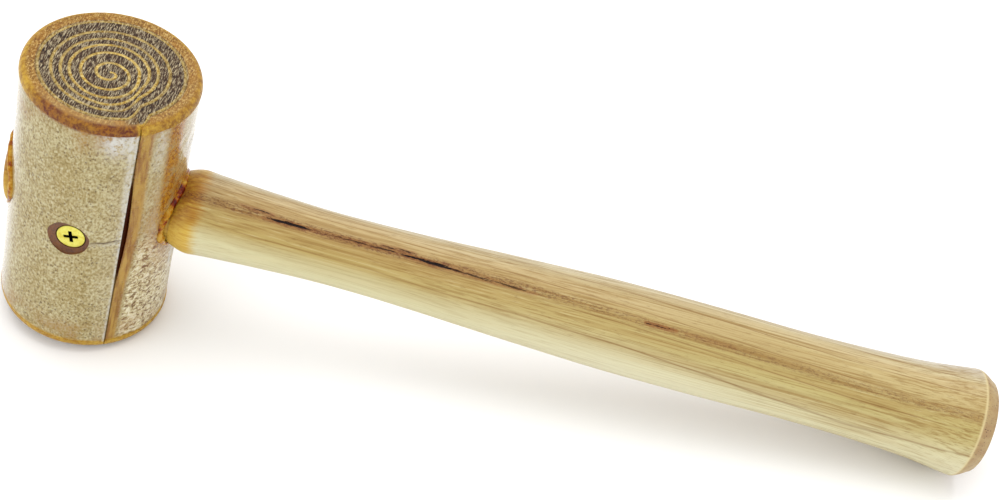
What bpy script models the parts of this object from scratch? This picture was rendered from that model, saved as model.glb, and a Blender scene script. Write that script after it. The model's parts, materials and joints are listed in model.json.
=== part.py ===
"""Rolled-hide mallet: one hide strip wound into a roll, a turned wooden handle through it,
a wedge in the tenon's end and a countersunk screw that locks the roll to the tenon.

The pieces are laid out in the mallet's own axes: the roll's axis is Z, the handle runs
along +X and the screw comes in along +Y, all from the middle of the roll. An empty carries
them and tips them to the pose in which the mallet lies on a table, on the roll's lower rim
and the handle's butt. Lengths are in metres.
"""

import math

import bmesh
import bpy
from mathutils import Vector

GAP = 0.0003  # clearance between touching pieces

# Roll of hide
ROLL_DIAMETER = 0.0508
ROLL_LENGTH = 0.0916
RIM_INSET = 0.0019  # how far the rounded rim eats into each end face
RIM_DROP = 0.0029  # and how far it runs down the side
SHEET_THICKNESS = 0.00355  # mean thickness of the strip
SHEET_SWING = 0.00115  # the strip is thicker at its outer and inner ends
SHEET_PERIOD = 6.3  # turns from one thick stretch to the next
SHEET_TURNS = 6.9
LAP_AZIMUTH = math.radians(-57.5)  # where the strip's outer end lies
LAP_STEP = 0.22  # share of its thickness that the skived outer end keeps
LAP_BEND = 0.014  # turns before the end over which the wrap under it starts to dip
LAP_LENGTH = 0.036  # turns past the end over which that wrap takes up the full thickness
LAP_GROWTH = 1.75  # and how much longer the dip gets with each wrap further in
LAP_LEAD = 0.4  # share of a deeper dip that lies before the end
STRIP_START = 0.0015  # turns that the strip's end stays clear of the wrap beside it
CORE_OFFSET = -0.0026  # the core lies off the roll's axis, along Y
CORE_RADIUS = 0.0007
WRAP_CHORD = 0.0028
TIGHTEST_CHORD_RADIUS = 0.002  # inside this radius the chords stop shrinking
TURNING_ALLOWANCE = 0.0005  # stock outside the finished roll before it is turned round

# Handle
TENON_DIAMETER = 0.0214
FLARE_DIAMETER = 0.0236  # the wedge spreads the tenon's end to this
FLARE_LENGTH = 0.0100
FLARE_LAND = 0.0030  # straight stretch between the flare and the tenon's end
TENON_INSET = 0.0005  # the end's middle lies this far inside the roll's outermost line
TENON_CUT = 0.115  # slope of the end face, whose upper edge stands proud of the roll
TENON_ROUNDING = 0.0010
HANDLE_DROP = 0.0004  # the bore lies this far below the roll's middle
SHOULDER_START = 0.0257
SHOULDER_RADIUS = 0.0112
SHOULDER_SWELL = (0.0277, 0.0125)  # distance and radius halfway up the rounded shoulder
SHOULDER_END = 0.0310
GRIP = (  # distance from the roll's axis, half height of the grip
    (SHOULDER_END, 0.0131),
    (0.050, 0.0120),
    (0.072, 0.01128),
    (0.098, 0.01182),
    (0.128, 0.01322),
    (0.160, 0.01438),
    (0.190, 0.01450),
    (0.218, 0.01430),
    (0.240, 0.01470),
    (0.259, 0.01575),
    (0.2748, 0.01769),
)
GRIP_STEPS = 2  # rings per stretch of the grip's outline
GRIP_OVALITY = 1.05  # height over width
OVALITY_LENGTH = 0.010  # the round shoulder turns oval over this length
BUTT_LENGTH = 0.0048
BUTT_RADIUS = 0.0152
BUTT_BULGE = (0.62, 0.45)  # shares of the butt's length and inset at the chamfer's bend

# Wedge in the tenon's outer end
WEDGE_LENGTH = 0.0140
WEDGE_WIDTH = 0.0160
WEDGE_THICK_END = 0.0030
WEDGE_THIN_END = 0.0010
WEDGE_EDGE = 0.00025  # bevel along its edges

# Locking screw, 25.4 mm long with a head of 8.4 mm
SCREW_ALONG = -0.0009  # the screw sits a little off the roll's middle, along X
SCREW_RISE = 0.0002  # and along Z
COUNTERBORE_DIAMETER = 0.0128
COUNTERBORE_DEPTH = 0.0014
SCREW_HEAD_DIAMETER = 0.0084
SCREW_HEAD_RIM = 0.0004
SCREW_CONE = 0.0026
SCREW_SHANK_DIAMETER = 0.0042
SCREW_LENGTH = 0.0254
SCREW_SMOOTH = 0.0085  # plain shank under the head
THREAD_PITCH = 0.0017
THREAD_DEPTH = 0.0006
SCREW_TIP = 0.0040
SCREW_POINT_SHARE = 0.12  # width left at the point, as a share of the core's
PILOT_TIP_RADIUS = 0.0010
CROSS_WIDTH = 0.0044
CROSS_WING = 0.0010
CROSS_DEPTH = 0.0019
CROSS_FOOT = (0.35, 0.6)  # shares of the cross's width and wing left at its foot
CROSS_OVERSHOOT = 0.0003
CROSS_TURN = math.radians(12)

ROLL_RADIUS = ROLL_DIAMETER / 2
TENON_RADIUS = TENON_DIAMETER / 2
TENON_END = -ROLL_RADIUS + TENON_INSET
FLARE_RADIUS = FLARE_DIAMETER / 2
FLARE_END = TENON_END + FLARE_LAND
FLARE_START = FLARE_END + FLARE_LENGTH
BUTT_START = GRIP[-1][0]
BUTT_END = BUTT_START + BUTT_LENGTH
SCREW_PLACE = (SCREW_ALONG, -ROLL_RADIUS + COUNTERBORE_DEPTH, SCREW_RISE)  # middle of its face
ROUND_SEGMENTS = 48
OVERSHOOT = 0.002  # how far cutters stick out of what they cut


# Scene helpers

def empty_scene():
    for item in list(bpy.data.objects):
        bpy.data.objects.remove(item, do_unlink=True)


def new_collection(name):
    collection = bpy.data.collections.new(name)
    bpy.context.scene.collection.children.link(collection)
    return collection


def new_material(name, colour, roughness, metallic=0.0):
    material = bpy.data.materials.new(name)
    material.use_nodes = True
    shader = material.node_tree.nodes["Principled BSDF"]
    shader.inputs["Base Color"].default_value = (*colour, 1.0)
    shader.inputs["Roughness"].default_value = roughness
    shader.inputs["Metallic"].default_value = metallic
    return material


def new_object(name, data, collection, parent):
    item = bpy.data.objects.new(name, data)
    collection.objects.link(item)
    item.parent = parent
    return item


def evaluated_mesh(item):
    depsgraph = bpy.context.evaluated_depsgraph_get()
    return bpy.data.meshes.new_from_object(item.evaluated_get(depsgraph))


def mesh_from_bmesh(name, shape):
    mesh = bpy.data.meshes.new(name)
    shape.to_mesh(mesh)
    shape.free()
    return mesh


def smooth_rounds(mesh, angle=35):
    mesh.shade_smooth()
    mesh.set_sharp_from_angle(angle=math.radians(angle))


def finish_piece(item, material):
    """Bake the modifiers into the mesh, shade it and give it its one material."""
    mesh = evaluated_mesh(item)
    item.modifiers.clear()
    item.data = mesh
    mesh.name = item.name
    mesh.materials.clear()
    mesh.materials.append(material)
    smooth_rounds(mesh)


# Shape helpers

def turned_mesh(name, profile, segments=ROUND_SEGMENTS):
    """Solid of revolution about Z from (radius, height) points, top to bottom."""
    shape = bmesh.new()
    points = [shape.verts.new((radius, 0, height)) for radius, height in profile]
    for first, second in zip(points, points[1:]):
        shape.edges.new((first, second))
    outline = bpy.data.objects.new(name, mesh_from_bmesh(name, shape))
    bpy.context.scene.collection.objects.link(outline)
    turn = outline.modifiers.new("turn", "SCREW")
    turn.steps = segments
    turn.render_steps = segments
    turn.use_merge_vertices = True
    turn.merge_threshold = 0.00001
    mesh = evaluated_mesh(outline)
    bpy.data.objects.remove(outline)
    return mesh


def rounded_corner(radius, height, inset, drop, steps):
    """Points of a quarter ellipse from an end face, at height, down to the side."""
    points = []
    for step in range(steps + 1):
        angle = math.pi / 2 * step / steps
        points.append((radius - inset * (1 - math.sin(angle)),
                       height - drop * (1 - math.cos(angle))))
    return points


def add_cutter(name, mesh, cutters, parent, location=(0, 0, 0), rotation=(0, 0, 0)):
    cutter = new_object(name, mesh, cutters, parent)
    cutter.location = location
    cutter.rotation_euler = rotation
    cutter.hide_render = True
    cutter.display_type = "WIRE"
    return cutter


def cut(item, cutter, operation="DIFFERENCE"):
    boolean = item.modifiers.new(cutter.name, "BOOLEAN")
    boolean.object = cutter
    boolean.operation = operation


def smoothstep(value):
    value = min(max(value, 0.0), 1.0)
    return value * value * (3 - 2 * value)


# Roll of hide: the strip's path is counted in turns from its outer end

def sheet_thickness(turn):
    return SHEET_THICKNESS + SHEET_SWING * math.cos(math.tau * (turn - 0.3) / SHEET_PERIOD)


def lap_share(past_end, wraps):
    """Share of its thickness that the strip's end adds to the wraps under it.

    past_end is the distance beyond the end, in turns, and wraps counts the wraps between:
    the step is sharp just under the end and soft deeper in the roll.
    """
    if wraps == 1:
        bend = LAP_STEP * smoothstep((past_end + LAP_BEND) / LAP_BEND)
        return bend + (1 - LAP_STEP) * smoothstep(past_end / LAP_LENGTH)
    length = LAP_LENGTH * LAP_GROWTH ** (wraps - 1)
    return smoothstep(past_end / length + LAP_LEAD)


def wrap_radius(turn):
    """Radius of the strip's outer side, before the core's offset."""
    radius = ROLL_RADIUS
    for wraps in range(1, int(turn + 1) + 1):
        past_end = turn - wraps
        radius -= sheet_thickness(past_end) * lap_share(past_end, wraps)
    return max(radius, CORE_RADIUS)


def wrap_point(turn, radius):
    """Place in the end face's plane of a point of the strip."""
    angle = LAP_AZIMUTH + math.tau * turn
    offset = CORE_OFFSET * max(1 - radius / ROLL_RADIUS, 0)
    return radius * math.cos(angle), radius * math.sin(angle) + offset


def outer_side(turn):
    radius = wrap_radius(turn)
    if radius > ROLL_RADIUS - 1e-6:
        radius += TURNING_ALLOWANCE
    return wrap_point(turn, radius)


def inner_side(turn):
    return wrap_point(turn, wrap_radius(turn + 1) + GAP)


def strip_outline():
    """The strip seen from its end: along its outer side to the core and back inside."""
    turns = [STRIP_START]
    while turns[-1] < SHEET_TURNS:
        radius = max(wrap_radius(turns[-1]), TIGHTEST_CHORD_RADIUS)
        turns.append(turns[-1] + WRAP_CHORD / (math.tau * radius))
    outline = [outer_side(turn) for turn in turns]
    for turn in reversed(turns):
        outline.append(inner_side(turn))
    return outline


def strip_mesh():
    curve = bpy.data.curves.new("hide_strip", "CURVE")
    curve.dimensions = "2D"
    curve.fill_mode = "BOTH"
    curve.extrude = ROLL_LENGTH / 2 + OVERSHOOT
    spline = curve.splines.new("POLY")
    outline = strip_outline()
    spline.points.add(len(outline) - 1)
    for point, (across, along) in zip(spline.points, outline):
        point.co = (across, along, 0, 1)
    spline.use_cyclic_u = True
    strip = bpy.data.objects.new("hide_strip", curve)
    bpy.context.scene.collection.objects.link(strip)
    mesh = evaluated_mesh(strip)
    bpy.data.objects.remove(strip)
    shape = bmesh.new()
    shape.from_mesh(mesh)
    bmesh.ops.remove_doubles(shape, verts=shape.verts, dist=0.00001)
    bmesh.ops.recalc_face_normals(shape, faces=shape.faces)
    return mesh_from_bmesh("hide_roll", shape)


def turned_roll_mesh():
    """Outer form of the finished roll: a cylinder with rounded rims."""
    top = rounded_corner(ROLL_RADIUS, ROLL_LENGTH / 2, RIM_INSET, RIM_DROP, 3)
    bottom = [(radius, -height) for radius, height in reversed(top)]
    profile = [(0, ROLL_LENGTH / 2), *top, *bottom, (0, -ROLL_LENGTH / 2)]
    return turned_mesh("turned_roll", profile, 60)


def build_hide_roll(parts, cutters, frame):
    roll = new_object("hide_roll", strip_mesh(), parts, frame)
    cut(roll, add_cutter("turned_roll", turned_roll_mesh(), cutters, frame), "INTERSECT")
    bore = [
        (0, ROLL_DIAMETER),
        (TENON_RADIUS + GAP, ROLL_DIAMETER),
        (TENON_RADIUS + GAP, FLARE_START),
        (FLARE_RADIUS + GAP, FLARE_END),
        (FLARE_RADIUS + GAP, -ROLL_DIAMETER),
        (0, -ROLL_DIAMETER),
    ]
    cut(roll, add_cutter("handle_bore", turned_mesh("handle_bore", bore), cutters, frame,
                         (0, 0, -HANDLE_DROP), (0, math.pi / 2, 0)))
    head = SCREW_HEAD_DIAMETER / 2 + GAP
    shank = SCREW_SHANK_DIAMETER / 2 + GAP
    seat = [
        (0, COUNTERBORE_DEPTH + OVERSHOOT),
        (COUNTERBORE_DIAMETER / 2, COUNTERBORE_DEPTH + OVERSHOOT),
        (COUNTERBORE_DIAMETER / 2, 0),
        (head, 0),
        (head, -SCREW_HEAD_RIM),
        (shank, -SCREW_HEAD_RIM - SCREW_CONE),
        (shank, -SCREW_LENGTH),
        (0, -SCREW_LENGTH),
    ]
    cut(roll, add_cutter("screw_seat", turned_mesh("screw_seat", seat, 32), cutters, frame,
                         SCREW_PLACE, (math.pi / 2, 0, 0)))
    return roll


# Handle

def grip_outline():
    """Half height of the grip along its length, through the outline's points."""
    rows = []
    slopes = []
    for index in range(len(GRIP)):
        before = GRIP[max(index - 1, 0)]
        after = GRIP[min(index + 1, len(GRIP) - 1)]
        slopes.append((after[1] - before[1]) / (after[0] - before[0]))
    for index in range(len(GRIP) - 1):
        start, start_radius = GRIP[index]
        end, end_radius = GRIP[index + 1]
        length = end - start
        for step in range(GRIP_STEPS):
            t = step / GRIP_STEPS
            rows.append((
                (1 + 2 * t) * (1 - t) ** 2 * start_radius + t * (1 - t) ** 2 * length * slopes[index]
                + t * t * (3 - 2 * t) * end_radius - t * t * (1 - t) * length * slopes[index + 1],
                start + t * length,
            ))
    rows.append((GRIP[-1][1], GRIP[-1][0]))
    return rows


def handle_mesh():
    butt = [
        (0, BUTT_END),
        (BUTT_RADIUS, BUTT_END),
        (BUTT_RADIUS + BUTT_BULGE[1] * (GRIP[-1][1] - BUTT_RADIUS),
         BUTT_START + BUTT_BULGE[0] * BUTT_LENGTH),
    ]
    grip = list(reversed(grip_outline()))
    tenon_top = [
        (SHOULDER_SWELL[1], SHOULDER_SWELL[0]),
        (SHOULDER_RADIUS, SHOULDER_START),
        (TENON_RADIUS, SHOULDER_START - GAP / 3),
    ]
    flare = [(TENON_RADIUS, FLARE_START), (FLARE_RADIUS, FLARE_END)]
    tenon_tip = [(radius, -height) for radius, height in reversed(
        rounded_corner(FLARE_RADIUS, -TENON_END, TENON_ROUNDING, TENON_ROUNDING, 3))]
    profile = [*butt, *grip, *tenon_top, *flare, *tenon_tip, (0, TENON_END)]
    mesh = turned_mesh("handle", profile, 40)
    for vertex in mesh.vertices:
        oval = smoothstep((vertex.co.z - SHOULDER_START) / OVALITY_LENGTH)
        vertex.co.y /= 1 + (GRIP_OVALITY - 1) * oval
        if vertex.co.z < FLARE_END - GAP:
            vertex.co.z += TENON_CUT * vertex.co.x
    return mesh


def wedge_mesh(name, clearance, width, reach):
    """Tapered slab along Z, with the same clearance all round and a sloped thick end on top."""
    shape = bmesh.new()
    bmesh.ops.create_cube(shape, size=1.0)
    slope = (WEDGE_THICK_END - WEDGE_THIN_END) / WEDGE_LENGTH
    bottom = -WEDGE_LENGTH - clearance
    for vertex in shape.verts:
        across = vertex.co.x * width
        height = reach + TENON_CUT * across if vertex.co.z > 0 else bottom
        thickness = WEDGE_THICK_END + slope * height + 2 * clearance
        vertex.co = Vector((across, vertex.co.y * thickness, height))
    return mesh_from_bmesh(name, shape)


def build_handle(parts, cutters, frame):
    handle = new_object("handle", handle_mesh(), parts, frame)
    handle.location = (0, 0, -HANDLE_DROP)
    handle.rotation_euler = (0, math.pi / 2, 0)
    slot = wedge_mesh("wedge_slot", GAP, 2 * TENON_DIAMETER, OVERSHOOT)
    cut(handle, add_cutter("wedge_slot", slot, cutters, frame,
                           (TENON_END, 0, -HANDLE_DROP), (0, -math.pi / 2, 0)))
    pilot_radius = SCREW_SHANK_DIAMETER / 2 + GAP
    pilot = [
        (0, 0),
        (pilot_radius, 0),
        (pilot_radius, -SCREW_LENGTH + SCREW_TIP / 2),
        (PILOT_TIP_RADIUS, -SCREW_LENGTH - 2 * GAP),
        (0, -SCREW_LENGTH - 2 * GAP),
    ]
    cut(handle, add_cutter("screw_pilot", turned_mesh("screw_pilot", pilot, 24), cutters, frame,
                           SCREW_PLACE, (math.pi / 2, 0, 0)))
    return handle


def build_wedge(parts, frame):
    wedge = new_object("tenon_wedge", wedge_mesh("tenon_wedge", 0, WEDGE_WIDTH, 0), parts, frame)
    wedge.location = (TENON_END, 0, -HANDLE_DROP)
    wedge.rotation_euler = (0, -math.pi / 2, 0)
    edges = wedge.modifiers.new("edges", "BEVEL")
    edges.width = WEDGE_EDGE
    edges.segments = 2
    return wedge


# Locking screw, point down

def thread_radius(depth, angle):
    """Radius of the screw below its plain shank, with a helical thread and a point."""
    phase = (depth / THREAD_PITCH + angle / math.tau) % 1.0
    ridge = 1 - abs(2 * phase - 1)
    core = SCREW_SHANK_DIAMETER / 2 - THREAD_DEPTH * (1 - ridge)
    return core * min(1.0, (SCREW_LENGTH - depth) / SCREW_TIP + SCREW_POINT_SHARE)


def screw_mesh():
    shank = SCREW_SHANK_DIAMETER / 2
    head = SCREW_HEAD_DIAMETER / 2
    ring_step = THREAD_PITCH / 4
    rings = int((SCREW_LENGTH - SCREW_SMOOTH) / ring_step)
    profile = [
        (0, 0),
        (head, 0),
        (head, -SCREW_HEAD_RIM),
        (shank, -SCREW_HEAD_RIM - SCREW_CONE),
    ]
    for ring in range(rings + 1):
        profile.append((shank, -SCREW_SMOOTH - ring * ring_step))
    profile.append((0, -SCREW_SMOOTH - rings * ring_step))
    mesh = turned_mesh("locking_screw", profile, 16)
    for vertex in mesh.vertices:
        depth = -vertex.co.z
        on_side = math.hypot(vertex.co.x, vertex.co.y) > shank / 2
        if on_side and depth > SCREW_SMOOTH + ring_step / 2:
            angle = math.atan2(vertex.co.y, vertex.co.x)
            radius = thread_radius(depth, angle)
            vertex.co.x = radius * math.cos(angle)
            vertex.co.y = radius * math.sin(angle)
    return mesh


def cross_wing_mesh():
    """One wing of the cross recess: a bar that narrows towards its foot."""
    shape = bmesh.new()
    bmesh.ops.create_cube(shape, size=1.0)
    for vertex in shape.verts:
        upper = vertex.co.z > 0
        vertex.co.x *= CROSS_WIDTH * (1 if upper else CROSS_FOOT[0])
        vertex.co.y *= CROSS_WING * (1 if upper else CROSS_FOOT[1])
        vertex.co.z = CROSS_OVERSHOOT if upper else -CROSS_DEPTH
    return mesh_from_bmesh("cross_wing", shape)


def build_screw(parts, cutters, frame):
    screw = new_object("locking_screw", screw_mesh(), parts, frame)
    screw.location = SCREW_PLACE
    screw.rotation_euler = (math.pi / 2, 0, 0)
    for wing in range(2):
        bar = add_cutter(f"cross_wing_{wing + 1}", cross_wing_mesh(), cutters, screw)
        bar.rotation_euler = (0, 0, CROSS_TURN + wing * math.pi / 2)
        cut(screw, bar)
    return screw


# Pose: the mallet lies on the roll's lower rim and the butt

def lie_on_table(frame, roll, pieces):
    """Tip the frame until the roll and the butt touch one level plane, and set it on Z = 0."""
    butt = Vector((BUTT_START, 0, -HANDLE_DROP - GRIP[-1][1]))
    tilt = max(
        math.atan2(butt.z - vertex.co.z, butt.x - vertex.co.x) for vertex in roll.data.vertices
    )
    frame.rotation_euler = (0, tilt, 0)
    bpy.context.view_layer.update()
    corners = [piece.matrix_world @ vertex.co for piece in pieces for vertex in piece.data.vertices]
    lows = [min(corner[axis] for corner in corners) for axis in range(3)]
    highs = [max(corner[axis] for corner in corners) for axis in range(3)]
    frame.location = (-(lows[0] + highs[0]) / 2, 0, -lows[2])


def main():
    empty_scene()
    parts = new_collection("rolled_hide_mallet")
    cutters = new_collection("cutters")
    frame = new_object("mallet_frame", None, parts, None)
    roll = build_hide_roll(parts, cutters, frame)
    pieces = {
        roll: new_material("hide", (0.56, 0.46, 0.28), 0.45),
        build_handle(parts, cutters, frame): new_material("handle_wood", (0.66, 0.48, 0.26), 0.50),
        build_wedge(parts, frame): new_material("wedge_wood", (0.40, 0.24, 0.11), 0.60),
        build_screw(parts, cutters, frame): new_material("brass", (0.87, 0.72, 0.28), 0.30, 1.0),
    }
    bpy.context.view_layer.update()
    for piece, material in pieces.items():
        finish_piece(piece, material)
    lie_on_table(frame, roll, list(pieces))


main()
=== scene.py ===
"""Looks of the rolled-rawhide mallet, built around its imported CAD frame.

Every piece is modelled in the mallet's own axes, with the middle of the roll as origin: Z along
the roll, X along the handle, -Y towards the screw. One matrix, read from the frame, lays them on
the table. Lengths are in metres. Surface detail only ever goes inwards from the CAD shape; the
beads of shellac at the joints alone stand on top of it.
"""

import json
import math

import bmesh
import bpy
import numpy as np
from mathutils import Matrix, Vector


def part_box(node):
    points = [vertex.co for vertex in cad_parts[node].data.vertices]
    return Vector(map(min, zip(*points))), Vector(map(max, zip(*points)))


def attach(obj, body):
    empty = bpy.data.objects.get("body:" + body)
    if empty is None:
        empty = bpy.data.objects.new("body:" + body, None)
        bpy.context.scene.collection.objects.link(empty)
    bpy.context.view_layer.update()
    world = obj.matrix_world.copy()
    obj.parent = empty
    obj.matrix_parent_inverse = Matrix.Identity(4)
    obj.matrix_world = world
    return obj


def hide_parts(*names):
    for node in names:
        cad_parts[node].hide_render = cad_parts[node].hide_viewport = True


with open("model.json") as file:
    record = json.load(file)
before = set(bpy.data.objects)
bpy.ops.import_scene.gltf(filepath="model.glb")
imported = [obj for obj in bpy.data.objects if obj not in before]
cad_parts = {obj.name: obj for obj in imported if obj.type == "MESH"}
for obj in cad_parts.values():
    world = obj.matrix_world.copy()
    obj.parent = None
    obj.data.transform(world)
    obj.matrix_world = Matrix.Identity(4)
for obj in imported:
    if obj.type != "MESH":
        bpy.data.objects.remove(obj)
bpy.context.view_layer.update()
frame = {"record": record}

MM = 0.001
TAU = math.tau
SPECK = 0.003 * MM  # vertices nearer than this are one

# Roll, as in the CAD
ROLL_RADIUS = 25.4 * MM
ROLL_HALF = 45.8 * MM
RIM_INSET = 1.9 * MM
RIM_DROP = 2.9 * MM
SHEET_THICKNESS = 3.55 * MM
SHEET_SWING = 1.15 * MM
SHEET_PERIOD = 6.3
SHEET_TURNS = 7.5
CORE_OFFSET = -2.6 * MM
CORE_RADIUS = 0.8 * MM
LAP_STEP = 0.22
LAP_LENGTH = 0.036  # in turns

# Handle, as in the CAD
HANDLE_DROP = 0.4 * MM
TENON_RADIUS = 10.7 * MM
TENON_END = -24.9 * MM
TENON_CUT = 0.115  # slope of the tenon's end face, whose upper edge stands proud
TENON_ROUNDING = 1.0 * MM
FLARE_RADIUS = 11.8 * MM
FLARE_END = -21.9 * MM
FLARE_START = -11.9 * MM
SHOULDER_START = 25.7 * MM
SHOULDER_END = 31.0 * MM
SHOULDER_RADIUS = 11.0 * MM
COLLAR_START = 24.2 * MM  # the shoulder's foot sinks a little into the roll's bore
GRIP = (
    (SHOULDER_END, 13.1 * MM),
    (50 * MM, 12.0 * MM),
    (72 * MM, 11.28 * MM),
    (98 * MM, 11.82 * MM),
    (128 * MM, 13.22 * MM),
    (160 * MM, 14.38 * MM),
    (190 * MM, 14.50 * MM),
    (218 * MM, 14.30 * MM),
    (240 * MM, 14.70 * MM),
    (259 * MM, 15.75 * MM),
    (274.8 * MM, 17.69 * MM),
)
BUTT_START = GRIP[-1][0]
BUTT_LENGTH = 4.8 * MM
BUTT_RADIUS = 15.2 * MM
GRIP_OVALITY = 1.05

# Screw and wedge, as in the CAD
SCREW_FACE = -24.0 * MM
SCREW_ALONG = -0.9 * MM
SCREW_RISE = 0.2 * MM
SCREW_HEAD_RADIUS = 4.2 * MM
SHANK_RADIUS = 2.1 * MM
COUNTERBORE_RADIUS = 6.4 * MM
WEDGE_LENGTH = 14 * MM
WEDGE_WIDTH = 16 * MM
WEDGE_THICK_END = 3.0 * MM
WEDGE_THIN_END = 1.0 * MM

BORE_GAP = 0.25 * MM  # clearance cut around the handle
PILOT_RADIUS = SHANK_RADIUS + 0.2 * MM

# The strip's outer end: a seam that leans a little and gapes at half height
SEAM_AZIMUTH = math.radians(-58.0)
SEAM_LEAN = math.radians(0.045) / MM
SEAM_GAPE = 1.05 * MM
SEAM_GAPE_LOW = -22 * MM
SEAM_GAPE_HIGH = 32 * MM
SEAM_SLIT = 0.10 * MM


# ---------------------------------------------------------------- mallet axes

def mount_axis(name):
    for mount in frame["record"]["mounts"]:
        if mount["name"] == name:
            return Vector(mount["axis"]).normalized()
    raise KeyError(name)


def mallet_matrix():
    low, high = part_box("hide_roll")
    along = mount_axis("butt_end")
    up = mount_axis("upper_striking_face")
    rotation = Matrix((along, up.cross(along), up)).transposed()
    centre = (Vector(low) + Vector(high)) / 2
    return Matrix.Translation(centre) @ rotation.to_4x4()


MALLET = mallet_matrix()


# ---------------------------------------------------------------- camera and light

CAMERA_PLACE = (-0.0094, -0.3739, 0.4094)
CAMERA_TARGET = (-0.0031, 0.0341, 0.020)
CAMERA_ROLL = math.radians(11.5)
CAMERA_LENS = 62.77
CAMERA_SENSOR = 36
LIGHT_TARGET = (-0.02, 0, 0.04)
WORLD_STRENGTH = 0.95
FLOOR_GREY = 0.93


def aim(item, place, target, roll=0.0):
    back = (Vector(place) - Vector(target)).normalized()
    turn = back.to_track_quat("Z", "Y").to_matrix().to_4x4()
    item.matrix_world = Matrix.Translation(place) @ turn @ Matrix.Rotation(roll, 4, "Z")


def add_camera():
    camera = bpy.data.objects.new("camera", bpy.data.cameras.new("camera"))
    bpy.context.scene.collection.objects.link(camera)
    camera.data.lens = CAMERA_LENS
    camera.data.sensor_width = CAMERA_SENSOR
    camera.data.clip_end = 20
    aim(camera, CAMERA_PLACE, CAMERA_TARGET, CAMERA_ROLL)
    bpy.context.scene.camera = camera


def add_area_light(name, place, size, power):
    data = bpy.data.lights.new(name, "AREA")
    data.shape = "RECTANGLE"
    data.size, data.size_y = size
    data.energy = power
    light = bpy.data.objects.new(name, data)
    bpy.context.scene.collection.objects.link(light)
    aim(light, place, LIGHT_TARGET)


def add_studio():
    world = bpy.data.worlds.new("studio")
    world.use_nodes = True
    background = world.node_tree.nodes["Background"]
    background.inputs["Color"].default_value = (1.0, 1.0, 1.0, 1)
    background.inputs["Strength"].default_value = WORLD_STRENGTH
    bpy.context.scene.world = world
    add_area_light("overhead", (-0.1, 0.25, 1.3), (1.4, 1.0), 9.0)
    add_area_light("front_left", (-1.0, -0.8, 0.7), (0.8, 0.8), 4.5)
    add_area_light("right", (1.1, -0.5, 0.5), (0.8, 0.8), 3.0)
    bpy.context.scene.view_settings.view_transform = "Standard"


def add_floor():
    shape = bmesh.new()
    bmesh.ops.create_grid(shape, x_segments=8, y_segments=8, size=4.0)
    floor = shape_object("floor", shape)
    floor.location.z = -0.2 * MM
    material = Shader("floor_paper")
    material.set("Base Color", (FLOOR_GREY, FLOOR_GREY, FLOOR_GREY, 1))
    material.set("Roughness", 0.9)
    material.set("Specular IOR Level", 0.1)
    floor.data.materials.append(material.material)


# ---------------------------------------------------------------- node materials

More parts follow.
